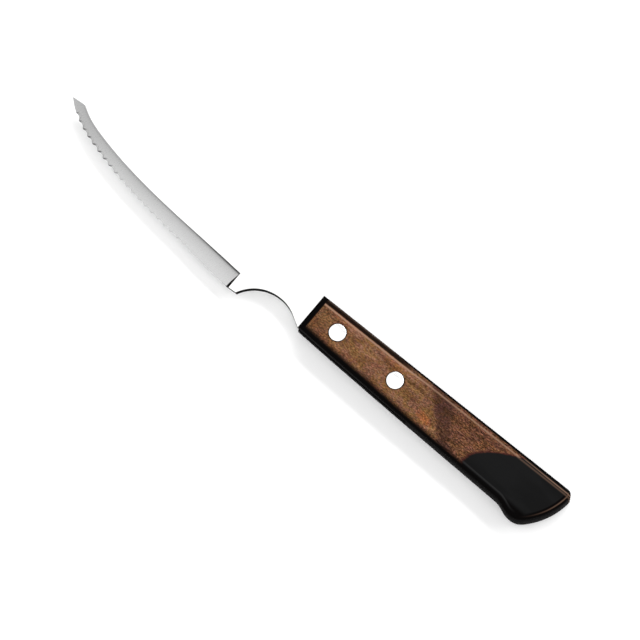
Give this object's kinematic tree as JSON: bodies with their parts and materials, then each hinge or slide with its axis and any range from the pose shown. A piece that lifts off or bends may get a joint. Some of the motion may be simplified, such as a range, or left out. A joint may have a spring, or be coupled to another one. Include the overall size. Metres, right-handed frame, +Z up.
{
  "type": "steak knife",
  "caption": "Table steak knife: a hollow-ground blade with a scalloped edge and a finger notch, riveted into a slotted, chamfered wooden handle with a hooked butt.",
  "frame": {"origin": "centre of the footprint, on the surface that the knife lies on", "axes": "+X from the blade's tip to the butt, +Y from the cutting edge to the spine, +Z up through the handle's thickness"},
  "size_m": [0.2112, 0.0196, 0.01],
  "materials": {
    "blade_steel": "fine satin, polished flats, ground bevel",
    "handle_wood": "resin-treated dark wood, satin, blackened rim and butt",
    "rivet_metal": "sanded flush, bright satin"
  },
  "bodies": {
    "root": {"blade": "blade_steel", "handle": "handle_wood", "front_rivet_stud": "rivet_metal", "front_rivet_sleeve": "rivet_metal", "rear_rivet_stud": "rivet_metal", "rear_rivet_sleeve": "rivet_metal"}
  },
  "joints": []
}
